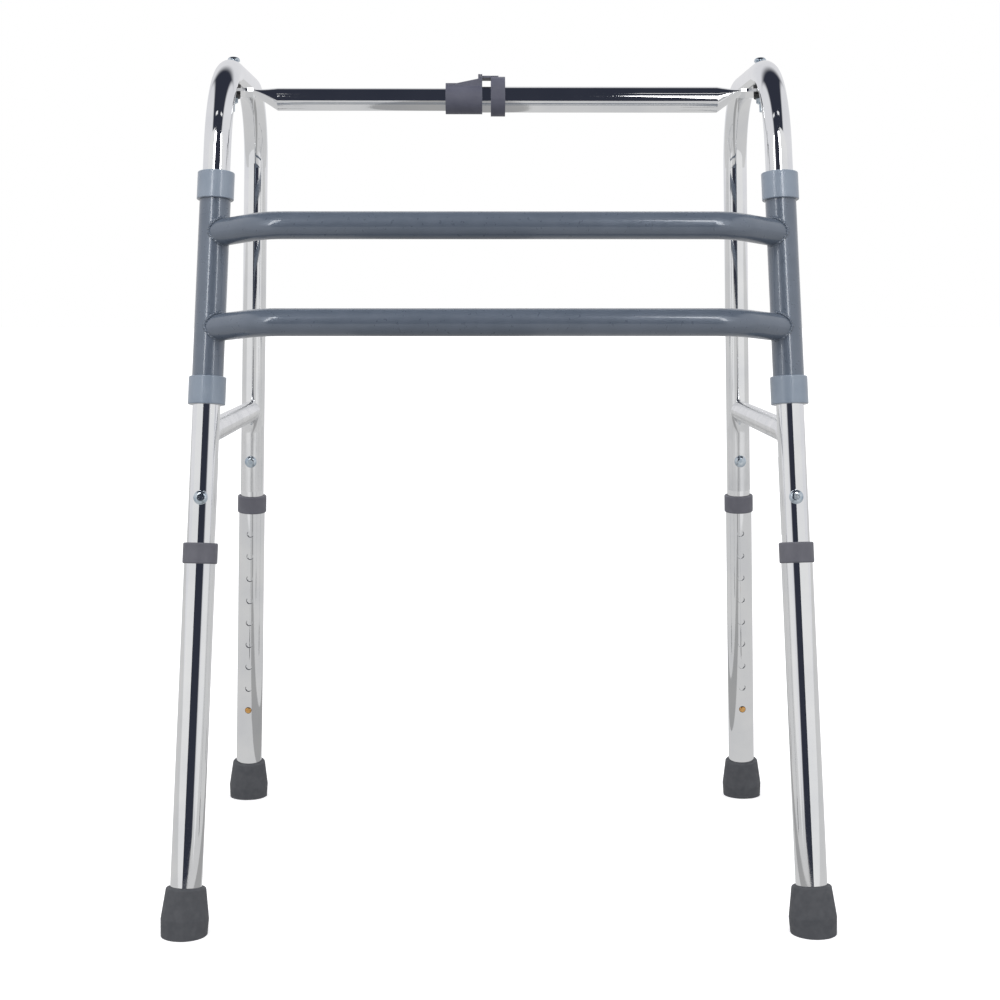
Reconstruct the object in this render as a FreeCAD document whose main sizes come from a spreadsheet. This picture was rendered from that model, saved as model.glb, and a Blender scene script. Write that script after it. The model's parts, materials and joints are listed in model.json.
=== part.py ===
import FreeCAD, Part
import math
import os

import Sketcher
from FreeCAD import Placement, Rotation, Vector

# Folding walking frame, in millimetres. The origin is on the floor under the middle of the
# frame, +Z is up, and the front (the painted H-frame) faces -Y. "Left" is the -X side.

SIZES = {
    # tubes
    "tube_outer": 25.4,
    "tube_inner": 23.0,
    "leg_outer": 28.6,
    "leg_inner": 26.2,
    "slim_outer": 22.2,
    "slim_inner": 19.8,
    # stance: where the leg axes meet the floor, and how far the legs lean
    "half_width": 282.8,
    "half_depth": 236.0,
    "side_lean": 1.6,
    "front_lean": 8.5,
    "rear_lean": 5.0,
    # side frame
    "handle_height": 790.5,
    "front_bend": 90.0,
    "rear_bend": 85.0,
    "tube_end": 88.0,
    # lower legs, feet and buttons
    "leg_start": 8.0,
    "leg_top": 346.5,
    "hole_first": 105.0,
    "hole_pitch": 25.4,
    "hole_count": 9,
    "hole_radius": 3.75,
    "collar_low": 331.0,
    "collar_height": 19.0,
    "collar_outer": 31.8,
    "collar_lip": 3.0,
    "collar_bore": 26.0,
    "collar_round": 1.4,
    "foot_under": -4.0,
    "foot_sole_radius": 20.6,
    "foot_belly_radius": 21.6,
    "foot_belly_height": 14.0,
    "foot_neck_radius": 17.9,
    "foot_height": 42.0,
    "foot_round": 2.4,
    "foot_socket_radius": 14.3,
    "foot_block": 80.0,
    "button_back": 9.65,
    "button_flange_top": 10.65,
    "button_flange_radius": 3.9,
    "button_radius": 3.3,
    "button_top": 15.8,
    "button_round": 1.5,
    "leaf_width": 8.0,
    # H-frame
    "sleeve_outer": 28.8,
    "sleeve_inner": 26.2,
    "sleeve_low": 483.0,
    "sleeve_high": 689.0,
    "bushing_height": 26.0,
    "bushing_outer": 34.4,
    "bushing_bore": 25.56,
    "bushing_lip": 6.0,
    "bushing_round": 1.0,
    "upper_rail_at": 637.0,
    "lower_rail_at": 548.0,
    "rail_bow": 44.0,
    "rail_turn": 40.0,
    "rail_bend": 45.0,
    # brace
    "brace_outer": 22.0,
    "brace_inner": 19.0,
    "brace_offset": 6.5,
    "brace_low": 357.0,
    "brace_high": 445.0,
    "brace_bend": 26.0,
    "saddle_outer": 28.4,
    "saddle_height": 72.0,
    "saddle_left": -20.0,
    "saddle_right": 20.0,
    "saddle_left_edge": -12.0,
    "saddle_right_edge": 12.0,
    "saddle_under": 350.0,
    "saddle_over": 440.0,
    "brace_bolt_at": 391.0,
    "brace_bolt_radius": 2.5,
    "brace_head_radius": 6.6,
    "brace_head_height": 4.4,
    "brace_nut_size": 8.0,
    "bolt_tip": 1.0,
    "brace_nut_height": 4.6,
    # crossbar, measured from the handle's axis down its pivot bolt
    "pivot_depth": -30.0,
    "pivot_bolt_radius": 3.0,
    "pivot_head_radius": 6.0,
    "pivot_head_seat": 13.8,
    "pivot_head_height": 3.4,
    "pivot_bolt_end": -37.0,
    "spacer_low": -16.4,
    "spacer_high": -8.0,
    "washer_radius": 8.0,
    "tab_top": -16.8,
    "tab_thickness": 3.0,
    "tab_width": 25.0,
    "tab_length": 21.0,
    "washer_top": -20.2,
    "washer_height": 3.0,
    "pivot_nut_size": 10.0,
    "pivot_nut_height": 5.2,
    "bar_drop": 25.0,
    "bar_taper": 24.0,
    "tab_hole_radius": 3.3,
    # crossbar lock, measured along the bar (X) and up from its axis
    "outer_mouth": -45.0,
    "inner_tip": 35.0,
    "lock_left": -51.0,
    "lock_right": -15.0,
    "lock_shoulder": -40.0,
    "lock_radius": 14.4,
    "lock_lip_radius": 11.5,
    "lock_crest": 19.8,
    "lock_half_width": 8.5,
    "pin_at": -21.0,
    "pin_radius": 2.0,
    "pin_low": 13.1,
    "pin_length": 4.5,
    "pin_hole_radius": 2.4,
    "pin_hole_top": 18.0,
    "ear_thickness": 2.2,
    "ear_left": -19.0,
    "ear_base": 16.0,
    "ear_gap": 6.4,
    "ear_top": 23.4,
    "lever_axis_x": -17.0,
    "lever_axis_z": 21.6,
    "lever_pin_radius": 0.8,
    "lever_pin_length": 18.0,
    "lever_root_radius": 1.5,
    "lever_root_bore": 0.88,
    "lever_width": 12.0,
    "strap_low": 20.4,
    "strap_high": 22.5,
    "ring_middle": 1.0,
    "ring_left": -6.5,
    "ring_length": 14.0,
    "ring_inner_half_width": 13.6,
    "ring_wall": 2.8,
    "ring_low": -13.8,
    "ring_high": 19.7,
}

doc = FreeCAD.newDocument("walking_frame")
sheet = doc.addObject("Spreadsheet::Sheet", "Sizes")
for row, (alias, number) in enumerate(SIZES.items(), start=1):
    sheet.set(f"A{row}", alias)
    sheet.set(f"B{row}", str(number))
    sheet.setAlias(f"B{row}", alias)
doc.recompute()

UP = Vector(0, 0, 1)
ALONG_X = Vector(1, 0, 0)
ALONG_Y = Vector(0, 1, 0)
SIDES = {"left": -1, "right": 1}
subparts = []


def size(alias):
    return float(sheet.get(alias))


def cell(alias):
    return f"Sizes.{alias}"


def finished(item, label):
    """Name an object as one of the frame's sub-parts."""
    item.Label = label
    subparts.append(item)
    return item


# ---------------------------------------------------------------- building blocks


def new_body(name, place):
    body = doc.addObject("PartDesign::Body", name)
    body.Placement = place
    return body


def origin_feature(body, role):
    return next(f for f in body.Origin.OriginFeatures if f.Role == role)


def new_sketch(body, role, name, lift=None):
    """A sketch on one of the body's origin planes, lifted off it by a formula."""
    sketch = body.newObject("Sketcher::SketchObject", name)
    sketch.AttachmentSupport = (origin_feature(body, role), [""])
    sketch.MapMode = "FlatFace"
    if lift:
        sketch.setExpression(".AttachmentOffset.Base.z", lift)
    return sketch


def bind(sketch, constraint, formula):
    index = sketch.addConstraint(constraint)
    sketch.setExpression(f"Constraints[{index}]", formula)


def add_circle(sketch, diameter, x=None, y=None):
    """A circle with its diameter bound to one cell and its centre to two others."""
    centre = Vector(size(x) if x else 0, size(y) if y else 0, 0)
    number = sketch.addGeometry(Part.Circle(centre, UP, size(diameter) / 2), False)
    bind(sketch, Sketcher.Constraint("Diameter", number, size(diameter)), cell(diameter))
    pin_point(sketch, number, 3, x, y)
    return number


def add_radius_circle(sketch, radius, x=None, y=None):
    centre = Vector(size(x) if x else 0, size(y) if y else 0, 0)
    number = sketch.addGeometry(Part.Circle(centre, UP, size(radius)), False)
    bind(sketch, Sketcher.Constraint("Radius", number, size(radius)), cell(radius))
    pin_point(sketch, number, 3, x, y)
    return number


def pin_point(sketch, number, end, x, y):
    """Fix one point of an edge at the cells x and y, where None means zero."""
    for kind, alias in (("DistanceX", x), ("DistanceY", y)):
        value = size(alias) if alias else 0.0
        constraint = Sketcher.Constraint(kind, -1, 1, number, end, value)
        if alias:
            bind(sketch, constraint, cell(alias))
        else:
            sketch.addConstraint(constraint)


def add_outline(sketch, points):
    """A closed outline of straight edges whose corners are pairs of cells."""
    spots = [Vector(size(x) if x else 0, size(y) if y else 0, 0) for x, y in points]
    count = len(spots)
    for n in range(count):
        sketch.addGeometry(Part.LineSegment(spots[n], spots[(n + 1) % count]), False)
    for n, (x, y) in enumerate(points):
        sketch.addConstraint(Sketcher.Constraint("Coincident", n, 2, (n + 1) % count, 1))
        pin_point(sketch, n, 1, x, y)


def pad(body, sketch, length, midplane=False, reverse=False):
    feature = body.newObject("PartDesign::Pad", "Pad")
    feature.Profile = sketch
    feature.setExpression("Length", length)
    feature.Midplane = midplane
    feature.Reversed = reverse
    sketch.Visibility = False
    return feature


def pocket(body, sketch, length, midplane=False, reverse=False):
    feature = body.newObject("PartDesign::Pocket", "Pocket")
    feature.Profile = sketch
    feature.setExpression("Length", length)
    feature.Midplane = midplane
    feature.Reversed = reverse
    return feature


def revolve(body, points):
    """Turn an outline of (radius, height) cells about the body's Z axis."""
    sketch = new_sketch(body, "XZ_Plane", "Profile")
    add_outline(sketch, points)
    feature = body.newObject("PartDesign::Revolution", "Revolution")
    feature.Profile = sketch
    feature.ReferenceAxis = (sketch, ["V_Axis"])
    feature.Angle = 360.0
    return feature


def round_edges(body, feature, radius, heights, wide):
    """Fillet the round edges that lie at these heights and are at least so wide."""
    doc.recompute()
    names = []
    for n, edge in enumerate(feature.Shape.Edges, start=1):
        if not isinstance(edge.Curve, Part.Circle) or edge.Curve.Radius < wide:
            continue
        if any(abs(edge.Curve.Center.z - level) < 0.01 for level in heights):
            names.append(f"Edge{n}")
    fillet = body.newObject("PartDesign::Fillet", "Fillet")
    fillet.Base = (feature, names)
    fillet.setExpression("Radius", cell(radius))
    return fillet


def tube_body(name, place, outer, inner, low, length):
    """A straight round tube along the body's Z axis."""
    body = new_body(name, place)
    sketch = new_sketch(body, "XY_Plane", "Ring", lift=low)
    add_circle(sketch, outer)
    add_circle(sketch, inner)
    pad(body, sketch, length)
    return body


def cylinder(name, place, radius, height):
    tool = doc.addObject("Part::Cylinder", name)
    tool.setExpression("Radius", radius)
    tool.setExpression("Height", height)
    tool.Placement = place
    return tool


def joined(name, items):
    fuse = doc.addObject("Part::MultiFuse", name)
    fuse.Shapes = items
    return fuse


def cut(name, base, tools):
    """Take one tool, or several at once, away from the base."""
    result = doc.addObject("Part::Cut", name)
    result.Base = base
    result.Tool = tools[0] if len(tools) == 1 else joined(name + "_tools", tools)
    return result


def add_path(sketch, low, moves):
    """A path up from the cell `low` on the sketch's vertical axis: straight runs and arcs.

    A move is ("run", length) or ("turn", radius, degrees); a positive turn bends towards -x.
    """
    spot = Vector(0, low, 0)
    heading = math.radians(90)
    for number, move in enumerate(moves):
        along = Vector(math.cos(heading), math.sin(heading), 0)
        if move[0] == "run":
            after = spot + along * move[1]
            edge = Part.LineSegment(spot, after)
        else:
            radius, turn = move[1], math.radians(move[2])
            side = math.copysign(1, turn)
            hub = spot + Vector(-along.y, along.x, 0) * radius * side
            first = heading - side * math.pi / 2
            middle, last = first + turn / 2, first + turn
            halfway = hub + Vector(math.cos(middle), math.sin(middle), 0) * radius
            after = hub + Vector(math.cos(last), math.sin(last), 0) * radius
            edge = Part.Arc(spot, halfway, after)
            heading += turn
        sketch.addGeometry(edge, False)
        sketch.addConstraint(Sketcher.Constraint("Block", number))
        spot = after


def pipe_body(name, place, outer, inner, low, moves):
    """A bent tube: a ring swept along a path in the body's YZ plane."""
    body = new_body(name, place)
    ring = new_sketch(body, "XY_Plane", "Ring", lift=str(low))
    add_circle(ring, outer)
    add_circle(ring, inner)
    path = new_sketch(body, "YZ_Plane", "Path")
    add_path(path, low, moves)
    pipe = body.newObject("PartDesign::AdditivePipe", "Pipe")
    pipe.Profile = ring
    pipe.Spine = (path, [])
    return body


# ---------------------------------------------------------------- places


def turned(point, *turns):
    """A placement at a point, turned by (axis, degrees) pairs from the outermost inwards."""
    rotation = Rotation()
    for axis, degrees in turns:
        rotation = rotation.multiply(Rotation(axis, degrees))
    return Placement(point, rotation)


def lifted(height):
    """A move along Z."""
    return Placement(Vector(0, 0, height), Rotation())


def side_place(side):
    """The plane of a side frame: Y runs back and Z up, leaning towards the middle."""
    return turned(Vector(side * size("half_width"), 0, 0), (ALONG_Y, -side * size("side_lean")))


def leg_place(side, end):
    """Z runs up the axis of a leg; end is -1 for the front leg and 1 for the rear one."""
    lean = size("rear_lean") if end > 0 else -size("front_lean")
    local = turned(Vector(0, end * size("half_depth"), 0), (ALONG_X, lean))
    return side_place(side).multiply(local)


def pivot_place(side):
    """On the handle's axis, with Z up the crossbar's pivot bolt, parallel to the sleeve."""
    spot = Vector(0, size("pivot_depth"), size("handle_height"))
    local = turned(spot, (ALONG_X, -size("front_lean")))
    return side_place(side).multiply(local)


def along_leg(side, end, height):
    """Across a leg at a height: Z points from the leg's axis towards the other leg."""
    across = turned(Vector(0, 0, height), (ALONG_X, 90 * end))
    return leg_place(side, end).multiply(across)


# ---------------------------------------------------------------- side frames

FRONT, REAR = -1, 1
ENDS = {"front": FRONT, "rear": REAR}


def side_tube_moves():
    """The runs and bends of the inverted-U tube, from the front leg's lower end."""
    front = math.radians(size("front_lean"))
    rear = math.radians(size("rear_lean"))
    height = size("handle_height")
    front_turn = 90 - size("front_lean")
    rear_turn = 90 - size("rear_lean")
    front_tangent = size("front_bend") * math.tan(math.radians(front_turn / 2))
    rear_tangent = size("rear_bend") * math.tan(math.radians(rear_turn / 2))
    across = 2 * size("half_depth") - height * (math.tan(front) + math.tan(rear))
    return [
        ("run", height / math.cos(front) - front_tangent - size("tube_end")),
        ("turn", size("front_bend"), -front_turn),
        ("run", across - front_tangent - rear_tangent),
        ("turn", size("rear_bend"), -rear_turn),
        ("run", height / math.cos(rear) - rear_tangent - size("tube_end")),
    ]


def side_tube(name, side):
    place = leg_place(side, FRONT)
    low = size("tube_end")
    body = pipe_body(name + "_bent", place, "tube_outer", "tube_inner", low, side_tube_moves())
    holes = [pivot_hole(name, side)]
    for end_name, end in ENDS.items():
        spot = along_leg(side, end, size("hole_first"))
        hole_name = f"{name}_{end_name}_button_hole"
        holes.append(cylinder(hole_name, spot, cell("hole_radius"), cell("tube_outer")))
        holes.append(brace_bolt_hole(f"{name}_{end_name}_brace_hole", side, end))
    return finished(cut(name, body, holes), name)


def pivot_hole(name, side):
    place = pivot_place(side).multiply(lifted(-size("tube_outer")))
    return cylinder(name + "_pivot_hole", place, cell("pivot_bolt_radius"), cell("tube_outer") + " * 2")


def brace_bolt_place(side, end):
    """Across a leg at the brace bolt, with Z pointing to the front."""
    across = turned(Vector(0, 0, size("brace_bolt_at")), (ALONG_X, 90))
    return leg_place(side, end).multiply(across)


def brace_bolt_hole(name, side, end):
    place = brace_bolt_place(side, end).multiply(lifted(-size("tube_outer")))
    return cylinder(name, place, cell("brace_bolt_radius"), cell("tube_outer") + " * 2")


def brace_moves():
    """The brace follows the front leg up, crosses level, and follows the rear leg down."""
    low, offset, bend = size("brace_low"), size("brace_offset"), size("brace_bend")
    front, rear = math.radians(size("front_lean")), math.radians(size("rear_lean"))
    height = size("brace_high")
    front_turn = 90 - size("front_lean")
    rear_turn = 90 - size("rear_lean")
    front_tangent = bend * math.tan(math.radians(front_turn / 2))
    rear_tangent = bend * math.tan(math.radians(rear_turn / 2))
    front_rise = (height + offset * math.sin(front)) / math.cos(front)
    rear_rise = (height + offset * math.sin(rear)) / math.cos(rear)
    across = 2 * size("half_depth") - height * (math.tan(front) + math.tan(rear))
    across -= offset / math.cos(front) + offset / math.cos(rear)
    return [
        ("run", front_rise - front_tangent - low),
        ("turn", bend, -front_turn),
        ("run", across - front_tangent - rear_tangent),
        ("turn", bend, -rear_turn),
        ("run", rear_rise - rear_tangent - low),
    ]


def saddle(name, side, end):
    """A curved strip, no wider than the leg, along the side that faces the other leg."""
    low, height = cell("brace_low"), cell("saddle_height")
    body = tube_body(name, leg_place(side, end), "saddle_outer", "tube_outer", low, height)
    half = new_sketch(body, "XZ_Plane", "Outer_half")
    add_outline(half, [
        ("saddle_left", "saddle_under"),
        ("saddle_right", "saddle_under"),
        ("saddle_right", "saddle_over"),
        ("saddle_left", "saddle_over"),
    ])
    pocket(body, half, cell("saddle_outer"), reverse=(end == FRONT))
    for word in ("left", "right"):
        edge = new_sketch(body, "XZ_Plane", f"Past_{word}_edge")
        add_outline(edge, [
            (f"saddle_{word}", "saddle_under"),
            (f"saddle_{word}_edge", "saddle_under"),
            (f"saddle_{word}_edge", "saddle_over"),
            (f"saddle_{word}", "saddle_over"),
        ])
        pocket(body, edge, cell("saddle_outer") + " * 2", midplane=True)
    return body


def brace(name, side):
    offset = Placement(Vector(0, size("brace_offset"), 0), Rotation())
    place = leg_place(side, FRONT).multiply(offset)
    bar = pipe_body(name + "_bar", place, "brace_outer", "brace_inner", size("brace_low"), brace_moves())
    saddles = [saddle(f"{name}_{word}_saddle", side, end) for word, end in ENDS.items()]
    whole = joined(name + "_whole", [bar, *saddles])
    tools = []
    for word, end in ENDS.items():
        leg_radius = cell("tube_outer") + " / 2"
        tools.append(cylinder(f"{name}_{word}_leg", leg_place(side, end), leg_radius, cell("sleeve_low")))
        tools.append(brace_bolt_hole(f"{name}_{word}_hole", side, end))
    return finished(cut(name, whole, tools), name)


def dome_bolt(name, place, shank_radius, head_radius, head_height, low):
    """A domed bolt along Z: the underside of its head is at zero and its end at `low`."""
    body = new_body(name, place)
    shank = new_sketch(body, "XY_Plane", "Shank")
    add_radius_circle(shank, shank_radius)
    pad(body, shank, f"-({low})", reverse=True)
    head = new_sketch(body, "XY_Plane", "Head")
    add_radius_circle(head, head_radius)
    top = pad(body, head, cell(head_height))
    doc.recompute()
    rim = [
        f"Edge{n}"
        for n, edge in enumerate(top.Shape.Edges, start=1)
        if isinstance(edge.Curve, Part.Circle) and abs(edge.Curve.Center.z - size(head_height)) < 0.01
    ]
    dome = body.newObject("PartDesign::Fillet", "Dome")
    dome.Base = (top, rim)
    dome.setExpression("Radius", f"{cell(head_height)} * 0.85")
    return body


def hex_nut(name, place, across_flats, hole_radius, height):
    body = new_body(name, place)
    sketch = new_sketch(body, "XY_Plane", "Hexagon")
    corner = size(across_flats) / math.sqrt(3)
    angles = [math.radians(60 * n) for n in range(6)]
    spots = [Vector(corner * math.cos(a), corner * math.sin(a), 0) for a in angles]
    for n in range(6):
        sketch.addGeometry(Part.LineSegment(spots[n], spots[(n + 1) % 6]), False)
        sketch.addConstraint(Sketcher.Constraint("Block", n))
    add_radius_circle(sketch, hole_radius)
    pad(body, sketch, cell(height))
    return body


def brace_fasteners(name, side):
    """One domed bolt and one nut for each leg, as two groups of separate solids."""
    bolts, nuts = [], []
    for word, end in ENDS.items():
        inner, outer = size("brace_offset") + size("brace_outer") / 2, size("tube_outer") / 2
        front_face, back_face = (outer, -inner) if end == FRONT else (inner, -outer)
        head_place = brace_bolt_place(side, end).multiply(lifted(front_face))
        grip = front_face - back_face
        low = -(grip + size("brace_nut_height") + size("bolt_tip"))
        bolt_name = f"{name}_{word}_bolt"
        bolt = dome_bolt(
            bolt_name, head_place, "brace_bolt_radius", "brace_head_radius", "brace_head_height", low
        )
        bolts.append(bolt)
        under = brace_bolt_place(side, end).multiply(lifted(back_face - size("brace_nut_height")))
        nut_name = f"{name}_{word}_nut"
        nuts.append(hex_nut(nut_name, under, "brace_nut_size", "brace_bolt_radius", "brace_nut_height"))
    finished(compound(f"{name}_brace_bolts", bolts), f"{name}_brace_bolts")
    finished(compound(f"{name}_brace_nuts", nuts), f"{name}_brace_nuts")


def compound(name, items):
    group = doc.addObject("Part::Compound", name)
    group.Links = items
    return group


def pivot_hardware(name, side):
    """The bolt that holds the crossbar under the handle, with its spacer, washer and nut."""
    place = pivot_place(side)
    top = place.multiply(lifted(size("pivot_head_seat")))
    length = size("pivot_bolt_end") - size("pivot_head_seat")
    bolt_name = f"{name}_crossbar_bolt"
    bolt = dome_bolt(bolt_name, top, "pivot_bolt_radius", "pivot_head_radius", "pivot_head_height", length)
    finished(bolt, bolt_name)
    ring = new_body(f"{name}_spacer_ring", place)
    sketch = new_sketch(ring, "XY_Plane", "Ring", lift=cell("spacer_low"))
    add_radius_circle(sketch, "washer_radius")
    add_radius_circle(sketch, "pivot_bolt_radius")
    pad(ring, sketch, f"{cell('spacer_high')} - {cell('spacer_low')}")
    before = Vector(0, size("pivot_depth") - size("tube_outer"), size("handle_height"))
    handle_place = side_place(side).multiply(turned(before, (ALONG_X, -90)))
    radius, reach = cell("tube_outer") + " / 2", cell("tube_outer") + " * 2"
    handle = cylinder(f"{name}_handle", handle_place, radius, reach)
    finished(cut(f"{name}_pivot_spacer", ring, [handle]), f"{name}_pivot_spacer")
    washer_place = place.multiply(lifted(size("washer_top") - size("washer_height")))
    washer = new_body(f"{name}_pivot_washer", washer_place)
    disc = new_sketch(washer, "XY_Plane", "Disc")
    add_radius_circle(disc, "washer_radius")
    add_radius_circle(disc, "pivot_bolt_radius")
    pad(washer, disc, cell("washer_height"))
    finished(washer, f"{name}_pivot_washer")
    nut_at = size("washer_top") - size("washer_height") - size("pivot_nut_height")
    nut_place = place.multiply(lifted(nut_at))
    nut = hex_nut(f"{name}_pivot_nut", nut_place, "pivot_nut_size", "pivot_bolt_radius", "pivot_nut_height")
    finished(nut, f"{name}_pivot_nut")


# ---------------------------------------------------------------- lower legs


def lower_leg(name, side, end):
    """The outer telescoping tube, with its row of holes facing the other leg."""
    body = tube_body(name, leg_place(side, end), "leg_outer", "leg_inner", cell("leg_start"),
                     f"{cell('leg_top')} - {cell('leg_start')}")
    hole = new_sketch(body, "XZ_Plane", "Hole")
    add_radius_circle(hole, "hole_radius", None, "hole_first")
    first = pocket(body, hole, cell("leg_outer"), reverse=(end == REAR))
    doc.recompute()
    row = body.newObject("PartDesign::LinearPattern", "Row")
    row.Originals = [first]
    row.Direction = (origin_feature(body, "Z_Axis"), [""])
    row.setExpression("Length", f"{cell('hole_pitch')} * ({cell('hole_count')} - 1)")
    row.setExpression("Occurrences", cell("hole_count"))
    body.Tip = row
    finished(body, name)


def collar(name, side, end):
    """The plastic cap on the lower tube's open end, with a lip that guides the upper tube."""
    place = leg_place(side, end)
    body = new_body(name, place)
    outer = new_sketch(body, "XY_Plane", "Outer", lift=cell("collar_low"))
    add_circle(outer, "collar_outer")
    add_circle(outer, "collar_bore")
    pad(body, outer, cell("collar_height"))
    seat = new_sketch(body, "XY_Plane", "Seat", lift=cell("collar_low"))
    add_circle(seat, "leg_outer")
    step = pocket(body, seat, f"{cell('leg_top')} - {cell('collar_low')}", reverse=True)
    ends = [size("collar_low"), size("collar_low") + size("collar_height")]
    round_edges(body, step, "collar_round", ends, size("collar_outer") / 2 - 0.1)
    finished(body, name)


def foot(name, side, end):
    """A rubber foot with a blind socket for the leg, trimmed flat where it stands."""
    body = new_body(name + "_turned", leg_place(side, end))
    form = revolve(body, [
        (None, "foot_under"),
        ("foot_sole_radius", "foot_under"),
        ("foot_belly_radius", "foot_belly_height"),
        ("foot_neck_radius", "foot_height"),
        ("foot_socket_radius", "foot_height"),
        ("foot_socket_radius", "leg_start"),
        (None, "leg_start"),
    ])
    round_edges(body, form, "foot_round", [size("foot_height")], size("foot_neck_radius") - 0.1)
    ground = doc.addObject("Part::Box", name + "_ground")
    for side_name in ("Length", "Width", "Height"):
        ground.setExpression(side_name, cell("foot_block"))
    reach = size("foot_block")
    middle = leg_place(side, end).Base
    ground.Placement = Placement(middle - Vector(reach / 2, reach / 2, reach), Rotation())
    finished(cut(name, body, [ground]), name)


def snap_button(name, side, end):
    """The button that sits in the leg's lowest hole, along Z from the leg's axis."""
    body = new_body(name, along_leg(side, end, size("hole_first")))
    form = revolve(body, [
        (None, "button_back"),
        ("button_flange_radius", "button_back"),
        ("button_flange_radius", "button_flange_top"),
        ("button_radius", "button_flange_top"),
        ("button_radius", "button_top"),
        (None, "button_top"),
    ])
    round_edges(body, form, "button_round", [size("button_top")], size("button_radius") - 0.1)
    finished(body, name)


def button_spring(name, side, end):
    """A folded leaf spring inside the upper tube that pushes the button out."""
    local = turned(Vector(0, 0, size("hole_first")), (UP, 0 if end == FRONT else 180))
    body = new_body(name, leg_place(side, end).multiply(local))
    leaf = new_sketch(body, "YZ_Plane", "Leaf")
    spots = [Vector(*point, 0) for point in LEAF]
    for n in range(len(spots)):
        leaf.addGeometry(Part.LineSegment(spots[n], spots[(n + 1) % len(spots)]), False)
        leaf.addConstraint(Sketcher.Constraint("Block", n))
    pad(body, leaf, cell("leaf_width"), midplane=True)
    finished(body, name)


# The folded leaf's outline: across the tube towards the button, and up.
LEAF = [(9.6, -8), (9.6, 10), (0.7, 60), (-0.7, 60), (-10.4, -8), (-9.7, -8), (0, 55), (8.9, 9.5), (8.9, -8)]


# ---------------------------------------------------------------- H-frame


def sleeve(name, side):
    body = tube_body(name, leg_place(side, FRONT), "sleeve_outer", "sleeve_inner", cell("sleeve_low"),
                     f"{cell('sleeve_high')} - {cell('sleeve_low')}")
    finished(body, name)


def bushing(name, side, high):
    """A plastic cap on one end of a sleeve; its lip is the bearing that the side turns in."""
    height, lip = size("bushing_height"), size("bushing_lip")
    if high:
        local = lifted(size("sleeve_high") - height + lip)
    else:
        spot = Vector(0, 0, size("sleeve_low") + height - lip)
        local = Placement(spot, Rotation(ALONG_X, 180))
    body = new_body(name, leg_place(side, FRONT).multiply(local))
    shell = new_sketch(body, "XY_Plane", "Shell")
    add_circle(shell, "bushing_outer")
    add_circle(shell, "bushing_bore")
    pad(body, shell, cell("bushing_height"))
    seat = new_sketch(body, "XY_Plane", "Seat")
    add_circle(seat, "sleeve_outer")
    step = pocket(body, seat, f"{cell('bushing_height')} - {cell('bushing_lip')}", reverse=True)
    round_edges(body, step, "bushing_round", [0, height], size("bushing_outer") / 2 - 0.1)
    finished(body, name)


def rail(name, height):
    """A cross rail, bowed forward, whose ends are coped to the two sleeves."""
    right_end = leg_place(1, FRONT).multVec(Vector(0, 0, size(height)))
    left_end = leg_place(-1, FRONT).multVec(Vector(0, 0, size(height)))
    turn, bend, bow = size("rail_turn"), size("rail_bend"), size("rail_bow")
    tangent = bend * math.tan(math.radians(turn / 2))
    slope = bow / math.sin(math.radians(turn))
    reach = right_end.x - left_end.x
    straight = reach - 2 * bow / math.tan(math.radians(turn)) - 2 * tangent
    lean, swing = math.radians(size("front_lean")), math.radians(turn)
    forward = Vector(0, -math.cos(lean), math.sin(lean))
    first_run = ALONG_X * math.cos(swing) + forward * math.sin(swing)
    outward = forward * math.cos(swing) - ALONG_X * math.sin(swing)
    plane = Placement(left_end, Rotation(outward.cross(first_run), outward, first_run, "ZYX"))
    moves = [("run", slope - tangent), ("turn", bend, turn), ("run", straight),
             ("turn", bend, turn), ("run", slope - tangent)]
    body = pipe_body(name + "_bent", plane, "tube_outer", "tube_inner", 0, moves)
    post_radius = cell("sleeve_outer") + " / 2"
    posts = [
        cylinder(f"{name}_{word}_post", leg_place(side, FRONT), post_radius, cell("sleeve_high"))
        for word, side in SIDES.items()
    ]
    finished(cut(name, body, posts), name)


# ---------------------------------------------------------------- crossbar


def bar_place():
    """The crossbar's axis: X runs along it from the middle, Z up parallel to the pivots."""
    spot = pivot_place(1).multVec(Vector(0, 0, -size("bar_drop")))
    return turned(Vector(0, spot.y, spot.z), (ALONG_X, -size("front_lean")))


def pivot_x():
    return pivot_place(1).multVec(Vector(0, 0, -size("bar_drop"))).x


def bar_half(name, side, outer, inner, mouth):
    """One tube of the crossbar, pressed flat at its outer end into a drilled tab."""
    body = new_body(name, bar_place())
    tab_end = pivot_x() - size("tab_length")
    tube_end = tab_end - size("bar_taper")
    low, high = sorted((side * tube_end, size(mouth)))
    ring = new_sketch(body, "YZ_Plane", "Ring", lift=str(low))
    add_circle(ring, outer)
    add_circle(ring, inner)
    pad(body, ring, str(high - low))
    round_end = new_sketch(body, "YZ_Plane", "Round_end", lift=str(side * tube_end))
    add_circle(round_end, outer)
    flat_end = new_sketch(body, "YZ_Plane", "Flat_end", lift=str(side * tab_end))
    tab_middle = size("bar_drop") + size("tab_top") - size("tab_thickness") / 2
    half_width, half_thick = size("tab_width") / 2, size("tab_thickness") / 2
    hub = Vector(0, tab_middle, 0)
    flat = Part.Ellipse(hub + Vector(half_width, 0, 0), hub + Vector(0, half_thick, 0), hub)
    flat_end.addGeometry(flat, False)
    flat_end.addConstraint(Sketcher.Constraint("Block", 0))
    taper = body.newObject("PartDesign::AdditiveLoft", "Taper")
    taper.Profile = round_end
    taper.Sections = [(flat_end, [""])]
    tab = new_sketch(body, "XY_Plane", "Tab", lift=str(tab_middle - half_thick))
    add_tab(tab, side * pivot_x(), side * (tab_end - 1), half_width, side)
    pad(body, tab, cell("tab_thickness"))
    return body


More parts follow.
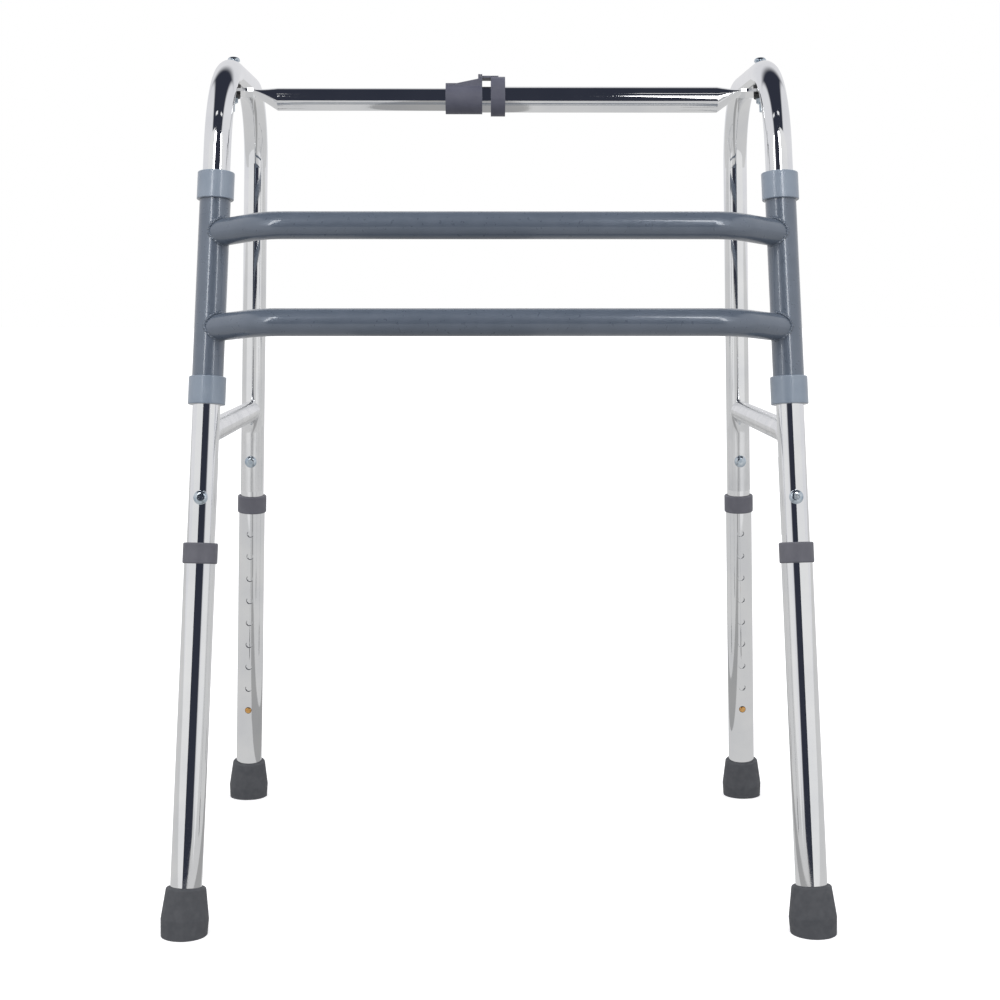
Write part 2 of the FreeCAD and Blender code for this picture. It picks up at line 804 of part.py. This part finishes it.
def add_tab(sketch, pivot, root, half_width, side):
    """A drilled tongue from its root to a round end about the pivot."""
    corners = [Vector(root, half_width, 0), Vector(pivot, half_width, 0),
               Vector(pivot, -half_width, 0), Vector(root, -half_width, 0)]
    tip = Vector(pivot + side * half_width, 0, 0)
    edges = [
        Part.LineSegment(corners[0], corners[1]),
        Part.Arc(corners[1], tip, corners[2]),
        Part.LineSegment(corners[2], corners[3]),
        Part.LineSegment(corners[3], corners[0]),
        Part.Circle(Vector(pivot, 0, 0), UP, size("tab_hole_radius")),
    ]
    for number, edge in enumerate(edges):
        sketch.addGeometry(edge, False)
        sketch.addConstraint(Sketcher.Constraint("Block", number))


def pin_hole(body, alias_top):
    """A hole up from the bar's axis, on the line of the lock pin."""
    hole = new_sketch(body, "XY_Plane", "Pin_hole")
    add_radius_circle(hole, "pin_hole_radius", "pin_at", None)
    return pocket(body, hole, cell(alias_top), reverse=True)


def crossbar():
    inner = bar_half("crossbar_inner_tube", -1, "slim_outer", "slim_inner", "inner_tip")
    pin_hole(inner, "lock_radius")
    finished(inner, "crossbar_inner_tube")
    outer = bar_half("crossbar_outer_tube", 1, "tube_outer", "tube_inner", "outer_mouth")
    pin_hole(outer, "lock_radius")
    finished(outer, "crossbar_outer_tube")


def lock_sleeve(name):
    """The moulding on the outer tube's mouth, with the housing of the pin and two ears."""
    body = new_body(name, bar_place())
    barrel = new_sketch(body, "YZ_Plane", "Barrel", lift=cell("lock_left"))
    add_radius_circle(barrel, "lock_radius")
    length = f"{cell('lock_right')} - {cell('lock_left')}"
    pad(body, barrel, length)
    housing = new_sketch(body, "XZ_Plane", "Housing")
    add_outline(housing, [
        ("lock_left", None), ("lock_right", None), ("lock_right", "lock_crest"),
        ("lock_shoulder", "lock_radius"), ("lock_left", "lock_radius"),
    ])
    pad(body, housing, f"{cell('lock_half_width')} * 2", midplane=True)
    for reverse in (False, True):
        ear = new_sketch(body, "XZ_Plane", "Ear", lift=f"{'' if reverse else '-'}{cell('ear_gap')}")
        add_outline(ear, [("ear_left", "ear_base"), ("lock_right", "ear_base"),
                          ("lock_right", "ear_top"), ("ear_left", "ear_top")])
        pad(body, ear, cell("ear_thickness"), reverse=not reverse)
    bore = new_sketch(body, "YZ_Plane", "Bore", lift=cell("outer_mouth"))
    add_circle(bore, "tube_outer")
    pocket(body, bore, cell("tube_outer") + " * 2", reverse=True)
    mouth = new_sketch(body, "YZ_Plane", "Mouth", lift=cell("lock_left"))
    add_radius_circle(mouth, "lock_lip_radius")
    pocket(body, mouth, cell("tube_outer") + " * 2", reverse=True)
    pin_hole(body, "pin_hole_top")
    cross = new_sketch(body, "XZ_Plane", "Cross_hole")
    add_radius_circle(cross, "lever_pin_radius", "lever_axis_x", "lever_axis_z")
    pocket(body, cross, cell("tube_outer") + " * 2", midplane=True)
    finished(body, name)


def lock_lever(name):
    """A strap that swings on the cross pin and ends in a ring around the bar."""
    body = new_body(name, bar_place())
    root = new_sketch(body, "XZ_Plane", "Root")
    add_radius_circle(root, "lever_root_radius", "lever_axis_x", "lever_axis_z")
    pad(body, root, cell("lever_width"), midplane=True)
    strap = new_sketch(body, "XZ_Plane", "Strap")
    add_outline(strap, [("lever_axis_x", "strap_low"), ("ring_middle", "strap_low"),
                        ("ring_middle", "strap_high"), ("lever_axis_x", "strap_high")])
    pad(body, strap, cell("lever_width"), midplane=True)
    ring = new_sketch(body, "YZ_Plane", "Ring", lift=cell("ring_left"))
    add_ring_outline(ring, 0.0)
    add_ring_outline(ring, size("ring_wall"))
    pad(body, ring, cell("ring_length"))
    bore = new_sketch(body, "XZ_Plane", "Bore")
    add_radius_circle(bore, "lever_root_bore", "lever_axis_x", "lever_axis_z")
    pocket(body, bore, cell("tube_outer") + " * 2", midplane=True)
    finished(body, name)


def add_ring_outline(sketch, wall):
    """A loop with a half-round bottom and a flatter half-round top, grown by a wall."""
    half = size("ring_inner_half_width")
    radius = half + wall
    low_hub = Vector(0, size("ring_low") + half, 0)
    high_hub = Vector(0, size("ring_high") - half, 0)
    reach = Vector(radius, 0, 0)
    drop = Vector(0, radius, 0)
    first = sketch.GeometryCount
    edges = [
        Part.Arc(low_hub - reach, low_hub - drop, low_hub + reach),
        Part.LineSegment(low_hub + reach, high_hub + reach),
        Part.Arc(high_hub + reach, high_hub + drop, high_hub - reach),
        Part.LineSegment(high_hub - reach, low_hub - reach),
    ]
    for number, edge in enumerate(edges):
        sketch.addGeometry(edge, False)
        sketch.addConstraint(Sketcher.Constraint("Block", first + number))


def lock_pins():
    """The pin that locks the two tubes, drawn clear of them, and the lever's cross pin."""
    local = Placement(Vector(size("pin_at"), 0, size("pin_low")), Rotation())
    pin = cylinder("lock_pin", bar_place().multiply(local), cell("pin_radius"), cell("pin_length"))
    finished(pin, "lock_pin")
    spot = Vector(size("lever_axis_x"), size("lever_pin_length") / 2, size("lever_axis_z"))
    cross = bar_place().multiply(turned(spot, (ALONG_X, 90)))
    lever_pin = cylinder("lever_pin", cross, cell("lever_pin_radius"), cell("lever_pin_length"))
    finished(lever_pin, "lever_pin")


# ---------------------------------------------------------------- the whole frame

for side_word, side_sign in SIDES.items():
    side_tube(f"{side_word}_side_tube", side_sign)
    brace(f"{side_word}_brace", side_sign)
    brace_fasteners(side_word, side_sign)
    pivot_hardware(side_word, side_sign)
    sleeve(f"{side_word}_sleeve", side_sign)
    bushing(f"{side_word}_upper_bushing", side_sign, high=True)
    bushing(f"{side_word}_lower_bushing", side_sign, high=False)
    for end_word, end_sign in ENDS.items():
        corner = f"{end_word}_{side_word}"
        lower_leg(f"{corner}_leg_tube", side_sign, end_sign)
        collar(f"{corner}_collar", side_sign, end_sign)
        foot(f"{corner}_foot", side_sign, end_sign)
        snap_button(f"{corner}_button", side_sign, end_sign)
        button_spring(f"{corner}_button_spring", side_sign, end_sign)
rail("upper_rail", "upper_rail_at")
rail("lower_rail", "lower_rail_at")
crossbar()
lock_sleeve("lock_sleeve")
lock_lever("lock_lever")
lock_pins()
doc.recompute()


def check():
    """Stop if any object failed or any sub-part has no sound shape."""
    for item in doc.Objects:
        if "Invalid" in item.State or "Error" in item.State:
            raise RuntimeError(f"{item.Label} did not build: {item.State}")
    for item in subparts:
        if item.Shape.isNull() or not item.Shape.isValid():
            raise RuntimeError(f"{item.Label} has no sound shape")


check()
os.makedirs("parts", exist_ok=True)
for item in subparts:
    item.Shape.exportStep(f"parts/{item.Label}.step")
    box = item.Shape.optimalBoundingBox()
    spans = [box.XMin, box.XMax, box.YMin, box.YMax, box.ZMin, box.ZMax]
    print(item.Label, len(item.Shape.Solids), round(item.Shape.Volume), [round(x, 1) for x in spans])
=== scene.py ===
import json
import math

import bmesh
import bpy
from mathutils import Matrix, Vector


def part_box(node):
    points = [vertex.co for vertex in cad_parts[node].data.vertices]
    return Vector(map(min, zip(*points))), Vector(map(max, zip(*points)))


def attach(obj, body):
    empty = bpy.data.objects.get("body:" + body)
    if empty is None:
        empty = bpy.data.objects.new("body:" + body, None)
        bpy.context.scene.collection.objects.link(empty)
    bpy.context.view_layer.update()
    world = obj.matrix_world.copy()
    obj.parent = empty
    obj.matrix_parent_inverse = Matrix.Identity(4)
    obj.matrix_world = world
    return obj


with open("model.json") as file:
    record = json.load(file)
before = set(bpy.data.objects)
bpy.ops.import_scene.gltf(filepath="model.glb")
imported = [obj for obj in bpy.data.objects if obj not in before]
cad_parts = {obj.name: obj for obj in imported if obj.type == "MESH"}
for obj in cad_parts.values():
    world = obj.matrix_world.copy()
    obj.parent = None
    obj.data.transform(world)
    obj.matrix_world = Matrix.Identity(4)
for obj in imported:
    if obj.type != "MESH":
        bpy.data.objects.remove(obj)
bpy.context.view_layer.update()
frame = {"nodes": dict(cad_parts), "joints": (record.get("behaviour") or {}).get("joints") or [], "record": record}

# Looks of a folding walking frame. Metres, +Z up, the painted front frame faces -Y.

MM = 0.001
TUBE_RADIUS = 12.7 * MM
SLEEVE_RADIUS = 14.4 * MM
RAIL_TURN = math.radians(40.0)
BEAD_STEPS = 160
BEAD_SIDES = 10
BEAD_RADIUS = 1.5
BEAD_RIPPLES = ((0.28, 26, 0), (0.12, 7, 1))
MIDDLE = -0.06
CARD_PLANE = -0.8
SIDES = ("left", "right")
NODES = frame["nodes"]
JOINTS = {joint["name"]: joint for joint in frame["joints"]}


# ---------------------------------------------------------------- materials


def new_material(name, **inputs):
    """A Principled material with its constant inputs set on the shader itself."""
    material = bpy.data.materials.new(name)
    material.use_nodes = True
    shader = material.node_tree.nodes["Principled BSDF"]
    for socket, value in inputs.items():
        shader.inputs[socket.replace("_", " ")].default_value = value
    return material


def place(material):
    """The object's own coordinates, made once for each material."""
    nodes = material.node_tree.nodes
    return nodes.get("Place") or nodes.new("ShaderNodeTexCoord")


def noise(material, scale, detail=3.0, stretch=None):
    """A noise whose cells are about 1 / scale metres wide, stretched along Z if asked."""
    tree = material.node_tree
    coordinates = place(material)
    coordinates.name = "Place"
    source = coordinates.outputs["Object"]
    if stretch:
        mapping = tree.nodes.new("ShaderNodeMapping")
        mapping.inputs["Scale"].default_value = stretch
        tree.links.new(source, mapping.inputs["Vector"])
        source = mapping.outputs["Vector"]
    texture = tree.nodes.new("ShaderNodeTexNoise")
    texture.inputs["Scale"].default_value = scale
    texture.inputs["Detail"].default_value = detail
    tree.links.new(source, texture.inputs["Vector"])
    return texture.outputs["Fac"]


def spread(material, value, low, high, start=0.3, end=0.7):
    """Map a noise's middle range to low..high."""
    node = material.node_tree.nodes.new("ShaderNodeMapRange")
    for socket, number in (("From Min", start), ("From Max", end), ("To Min", low), ("To Max", high)):
        node.inputs[socket].default_value = number
    material.node_tree.links.new(value, node.inputs["Value"])
    return node.outputs["Result"]


def vary_roughness(material, value, low, high):
    shader = material.node_tree.nodes["Principled BSDF"]
    material.node_tree.links.new(spread(material, value, low, high), shader.inputs["Roughness"])


def vary_colour(material, value, first, second, start=0.35, end=0.65):
    tree = material.node_tree
    mix = tree.nodes.new("ShaderNodeMix")
    mix.data_type = "RGBA"
    mix.inputs["A"].default_value = (*first, 1)
    mix.inputs["B"].default_value = (*second, 1)
    tree.links.new(spread(material, value, 0.0, 1.0, start, end), mix.inputs["Factor"])
    tree.links.new(mix.outputs["Result"], tree.nodes["Principled BSDF"].inputs["Base Color"])
    return mix


def add_bump(material, value, distance, strength=1.0):
    tree = material.node_tree
    bump = tree.nodes.new("ShaderNodeBump")
    bump.inputs["Distance"].default_value = distance
    bump.inputs["Strength"].default_value = strength
    tree.links.new(value, bump.inputs["Height"])
    shader = tree.nodes["Principled BSDF"]
    if shader.inputs["Normal"].is_linked:
        tree.links.new(shader.inputs["Normal"].links[0].from_socket, bump.inputs["Normal"])
    tree.links.new(bump.outputs["Normal"], shader.inputs["Normal"])


def chrome():
    """Bright plating: nearly a mirror, with faint long waves and hairline rubbing."""
    material = new_material("chrome_plate", Metallic=1.0, IOR=2.2)
    vary_colour(material, noise(material, 22.0), (0.84, 0.85, 0.87), (0.91, 0.915, 0.92))
    vary_roughness(material, noise(material, 60.0, 6.0), 0.03, 0.075)
    add_bump(material, noise(material, 9.0, 1.0), 0.00025, 0.5)
    add_bump(material, noise(material, 900.0, 2.0, (1, 1, 0.04)), 0.00001, 0.4)
    return material


def satin_metal():
    """The brace's duller plating, with the drag marks of its press."""
    material = new_material("satin_plate", Metallic=1.0)
    vary_colour(material, noise(material, 30.0), (0.76, 0.77, 0.79), (0.86, 0.865, 0.875))
    vary_roughness(material, noise(material, 70.0, 5.0), 0.12, 0.24)
    add_bump(material, noise(material, 14.0, 2.0), 0.0006, 0.5)
    add_bump(material, noise(material, 700.0, 2.0, (0.05, 1, 1)), 0.00002, 0.5)
    return material


def zinc():
    material = new_material("bright_zinc", Metallic=1.0)
    vary_colour(material, noise(material, 160.0), (0.42, 0.50, 0.58), (0.66, 0.72, 0.77))
    vary_roughness(material, noise(material, 400.0), 0.12, 0.28)
    add_bump(material, noise(material, 600.0), 0.00004, 0.6)
    return material


def steel():
    material = new_material("spring_steel", Metallic=1.0)
    vary_colour(material, noise(material, 180.0), (0.42, 0.42, 0.44), (0.60, 0.60, 0.60))
    vary_roughness(material, noise(material, 300.0), 0.22, 0.4)
    add_bump(material, noise(material, 800.0), 0.00003, 0.5)
    return material


def brass():
    material = new_material("button_brass", Metallic=1.0)
    vary_colour(material, noise(material, 260.0), (0.66, 0.33, 0.10), (0.86, 0.52, 0.20))
    vary_roughness(material, noise(material, 500.0), 0.2, 0.38)
    add_bump(material, noise(material, 900.0), 0.00003, 0.5)
    return material


def hammered_paint():
    """Slate-grey powder coat: a clear gloss over a fine dimpled skin, lighter where worn."""
    material = new_material("slate_paint", Metallic=0.15, Coat_Weight=0.9, Coat_Roughness=0.07)
    vary_colour(material, noise(material, 55.0, 5.0), (0.122, 0.153, 0.200), (0.138, 0.170, 0.220))
    vary_roughness(material, noise(material, 240.0), 0.26, 0.42)
    add_bump(material, noise(material, 420.0, 1.0), 0.00012, 0.5)
    return material


def moulded(name, first, second, low, high, gloss=0.0):
    """Moulded plastic with a fine grain and slight unevenness of colour and gloss."""
    material = new_material(name, Coat_Weight=gloss, Coat_Roughness=0.1)
    vary_colour(material, noise(material, 70.0, 4.0), first, second)
    vary_roughness(material, noise(material, 200.0, 4.0), low, high)
    add_bump(material, noise(material, 900.0, 2.0), 0.00004, 0.6)
    add_bump(material, noise(material, 60.0, 1.0), 0.0002, 0.25)
    return material


def rubber():
    """Matt moulded rubber, dusty in the low spots of its grain."""
    material = new_material("foot_rubber", Specular_IOR_Level=0.35)
    vary_colour(material, noise(material, 140.0, 6.0), (0.076, 0.080, 0.089), (0.092, 0.096, 0.105))
    vary_roughness(material, noise(material, 220.0, 4.0), 0.52, 0.74)
    add_bump(material, noise(material, 1100.0, 3.0), 0.00008, 0.7)
    add_bump(material, noise(material, 90.0, 2.0), 0.0004, 0.35)
    return material


CHROME = chrome()
MATERIALS = {
    "chrome_tube": CHROME,
    "brace_metal": satin_metal(),
    "zinc_fastener": zinc(),
    "dark_washer": moulded("dark_washer", (0.030, 0.030, 0.032), (0.050, 0.049, 0.050), 0.5, 0.7),
    "grey_paint": hammered_paint(),
    "bushing_plastic": moulded(
        "bushing_plastic", (0.255, 0.312, 0.385), (0.285, 0.342, 0.415), 0.28, 0.42, gloss=0.6
    ),
    "collar_plastic": moulded("collar_plastic", (0.128, 0.129, 0.154), (0.148, 0.149, 0.175), 0.38, 0.55),
    "foot_rubber": rubber(),
    "spring_steel": steel(),
    "button_brass": brass(),
    "lock_plastic": moulded("lock_plastic", (0.108, 0.112, 0.152), (0.126, 0.130, 0.172), 0.34, 0.5),
}


def dress(piece, slot):
    piece.data.materials.clear()
    piece.data.materials.append(MATERIALS[slot])


for part in frame["record"]["subparts"]:
    dress(NODES[part["node"]], part["material_slot"])


# ---------------------------------------------------------------- added pieces


def closed_ring(name, rows, body, slot):
    """A smooth closed ring through rows of points; each row is a closed loop."""
    mesh = bpy.data.meshes.new(name)
    work = bmesh.new()
    loops = [[work.verts.new(point) for point in row] for row in rows]
    pairs = list(zip(loops, loops[1:]))
    pairs.append((loops[-1], loops[0]))
    for first, second in pairs:
        count = len(first)
        for n in range(count):
            after = (n + 1) % count
            work.faces.new((first[n], first[after], second[after], second[n]))
    bmesh.ops.recalc_face_normals(work, faces=work.faces)
    for face in work.faces:
        face.smooth = True
    work.to_mesh(mesh)
    work.free()
    piece = bpy.data.objects.new(name, mesh)
    bpy.context.scene.collection.objects.link(piece)
    piece.data.materials.append(MATERIALS[slot])
    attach(piece, body)


def weld_bead(rail, side):
    """The rippled bead where a rail's coped end meets its sleeve."""
    joint = JOINTS[f"{side}_fold"]
    axis = Vector(joint["axis"])
    axis = axis if axis.z > 0 else -axis
    forward = Vector((0, -axis.z, axis.y)).normalized()
    inward = axis.cross(forward) * (1 if side == "left" else -1)
    inward = inward if inward.x * (1 if side == "left" else -1) > 0 else -inward
    rail_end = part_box(rail)[0].z + TUBE_RADIUS * axis.z
    start = Vector(joint["pos_m"])
    hub = start + axis * ((rail_end - start.z) / axis.z)
    along = inward * math.cos(RAIL_TURN) + forward * math.sin(RAIL_TURN)
    across = along.cross(axis).normalized()
    rows = []
    for n in range(BEAD_STEPS):
        turn = 2 * math.pi * n / BEAD_STEPS
        out = axis * math.cos(turn) + across * math.sin(turn)
        reach = math.sqrt(SLEEVE_RADIUS**2 - (TUBE_RADIUS * math.sin(turn)) ** 2)
        spot = hub + along * reach + out * TUBE_RADIUS
        ripples = sum(height * math.sin(turn * count + shift) for height, count, shift in BEAD_RIPPLES)
        radius = (BEAD_RADIUS + ripples) * MM
        ring = []
        for k in range(BEAD_SIDES):
            angle = 2 * math.pi * k / BEAD_SIDES
            ring.append(spot + (out * math.cos(angle) + along * math.sin(angle)) * radius)
        rows.append(ring)
    closed_ring(f"{rail}_{side}_weld", rows, "front_frame", "grey_paint")


def all_welds():
    for rail in ("upper_rail", "lower_rail"):
        for side in SIDES:
            weld_bead(rail, side)


all_welds()


# ---------------------------------------------------------------- light, floor and camera


def smooth_step(tree, source, start, end):
    """0 at start and below, 1 at end and above; reversed where end is the smaller."""
    node = tree.nodes.new("ShaderNodeMapRange")
    node.interpolation_type = "SMOOTHSTEP"
    node.inputs["From Min"].default_value = start
    node.inputs["From Max"].default_value = end
    tree.links.new(source, node.inputs["Value"])
    return node.outputs["Result"]


def maths(tree, operation, first, second=None):
    node = tree.nodes.new("ShaderNodeMath")
    node.operation = operation
    tree.links.new(first, node.inputs[0])
    if second is not None:
        tree.links.new(second, node.inputs[1])
    return node.outputs[0]


def tint(tree, factor, first, second):
    """Blend two colours; each is a plain colour or another node's output."""
    mix = tree.nodes.new("ShaderNodeMix")
    mix.data_type = "RGBA"
    tree.links.new(factor, mix.inputs["Factor"])
    for name, colour in (("A", first), ("B", second)):
        if isinstance(colour, tuple):
            mix.inputs[name].default_value = (*colour, 1)
        else:
            tree.links.new(colour, mix.inputs[name])
    return mix.outputs["Result"]


def studio_world():
    """White walls at both sides and behind, with a dark room in front and overhead."""
    world = bpy.data.worlds.new("studio")
    bpy.context.scene.world = world
    world.use_nodes = True
    tree = world.node_tree
    background = tree.nodes["Background"]
    split = tree.nodes.new("ShaderNodeSeparateXYZ")
    tree.links.new(tree.nodes.new("ShaderNodeTexCoord").outputs["Generated"], split.inputs[0])
    path = tree.nodes.new("ShaderNodeLightPath")
    dark_room, pale_wall = (0.030, 0.034, 0.050), (0.76, 0.76, 0.78)
    dim_floor, bright_ceiling = (0.30, 0.30, 0.32), (1.02, 1.02, 1.04)
    backdrop = (1.0, 1.0, 1.0)
    beside = smooth_step(tree, maths(tree, "ABSOLUTE", split.outputs["X"]), 0.52, 0.66)
    behind = smooth_step(tree, split.outputs["Y"], 0.45, 0.75)
    bright = maths(tree, "MAXIMUM", beside, behind)
    mirrored = tint(tree, bright, dark_room, pale_wall)
    above = smooth_step(tree, split.outputs["Z"], -0.5, 0.4)
    soft = tint(tree, above, dim_floor, bright_ceiling)
    lit = tint(tree, path.outputs["Is Diffuse Ray"], mirrored, soft)
    seen = tint(tree, path.outputs["Is Camera Ray"], lit, backdrop)
    tree.links.new(seen, background.inputs["Color"])


def sheet(name, corners, brightness, base=0.0):
    """A flat stage piece that glows evenly."""
    mesh = bpy.data.meshes.new(name)
    mesh.from_pydata(corners, [], [tuple(range(len(corners)))])
    plane = bpy.data.objects.new(name, mesh)
    bpy.context.scene.collection.objects.link(plane)
    material = new_material(name, Base_Color=(base, base, base, 1), Roughness=0.9)
    shader = material.node_tree.nodes["Principled BSDF"]
    shader.inputs["Specular IOR Level"].default_value = 0.0
    shader.inputs["Emission Color"].default_value = (1, 1, 1, 1)
    shader.inputs["Emission Strength"].default_value = brightness
    mesh.materials.append(material)
    return plane


def reflector(name, corners, brightness):
    """A card that shows only as a reflection."""
    plane = sheet(name, corners, brightness)
    plane.visible_camera = False
    plane.visible_diffuse = False
    plane.visible_shadow = False
    plane.visible_transmission = False


def floor():
    """Pale paper; what the plating mirrors is a plainer, greyer copy just above it."""
    near, far, wide = -2.6, 30.0, 30.0
    glow, whiteness = 0.35, 0.93
    bright, dim = 0.62, 0.36
    dim_from, dim_to = -0.17, 0.05
    corners = [(-wide, -far, 0), (wide, -far, 0), (wide, far, 0), (-wide, far, 0)]
    paper = sheet("floor", corners, glow, whiteness)
    paper.visible_diffuse = False
    paper.visible_glossy = False
    strips = (
        ("left", -wide, dim_from, bright),
        ("middle", dim_from, dim_to, dim),
        ("right", dim_to, wide, bright),
    )
    for name, start, end, brightness in strips:
        corners = [(start, near, MM), (end, near, MM), (end, far, MM), (start, far, MM)]
        reflector("mirrored_floor_" + name, corners, brightness)


def wall(name, side):
    """A pale wall beside the camera, from its inner edge outwards."""
    inner, outer, top, brightness = 0.43, 3.0, 1.25, 0.80
    edge = MIDDLE + side * inner
    corners = [
        (edge, CARD_PLANE, 0.0),
        (side * outer, CARD_PLANE, 0.0),
        (side * outer, CARD_PLANE, top),
        (edge, CARD_PLANE, top),
    ]
    reflector(name + "_wall", corners, brightness)


def softbox(name, side):
    """A bright leaning strip just behind the wall's inner edge."""
    plane, low, high, brightness = CARD_PLANE + 0.01, 0.66, 1.15, 7.0
    outline = ((0.43, low), (0.52, low), (0.40, high), (0.24, high))
    corners = [(MIDDLE + side * across, plane, up) for across, up in outline]
    reflector(name + "_softbox", corners, brightness)


def ceiling_lamp(name, side):
    height, brightness = 2.2, 0.9
    outline = ((0.34, -1.25), (0.80, -1.25), (0.80, -1.08), (0.34, -1.08))
    corners = [(MIDDLE + side * across, along, height) for across, along in outline]
    reflector(name + "_lamp", corners, brightness)


def softboxes():
    """White walls either side of the camera, a bright strip at each edge and two lamps above."""
    for side, name in ((-1, "left"), (1, "right")):
        wall(name, side)
        softbox(name, side)
        ceiling_lamp(name, side)


def key_light():
    """A large lamp above and in front, which lights the piece but isn't mirrored in it."""
    spot, target = Vector((-0.4, -1.6, 2.6)), Vector((0, 0, 0.45))
    light = bpy.data.lights.new("key_light", "AREA")
    light.shape = "RECTANGLE"
    light.size = 1.6
    light.size_y = 1.0
    light.energy = 14
    lamp = bpy.data.objects.new("key_light", light)
    lamp.location = spot
    lamp.rotation_euler = (target - spot).to_track_quat("-Z", "Y").to_euler()
    lamp.visible_camera = False
    lamp.visible_glossy = False
    bpy.context.scene.collection.objects.link(lamp)


def camera():
    tilt_down, turn_right = 2.59, 0.556
    data = bpy.data.cameras.new("camera")
    data.sensor_width = 36.0
    data.lens = 68.2
    data.shift_y = -0.12
    eye = bpy.data.objects.new("camera", data)
    eye.location = (-0.0157, -1.914, 0.5735)
    eye.rotation_euler = (math.radians(90 - tilt_down), 0, math.radians(-turn_right))
    bpy.context.scene.collection.objects.link(eye)
    bpy.context.scene.camera = eye


studio_world()
floor()
softboxes()
camera()
key_light()
bpy.context.scene.view_settings.view_transform = "Standard"
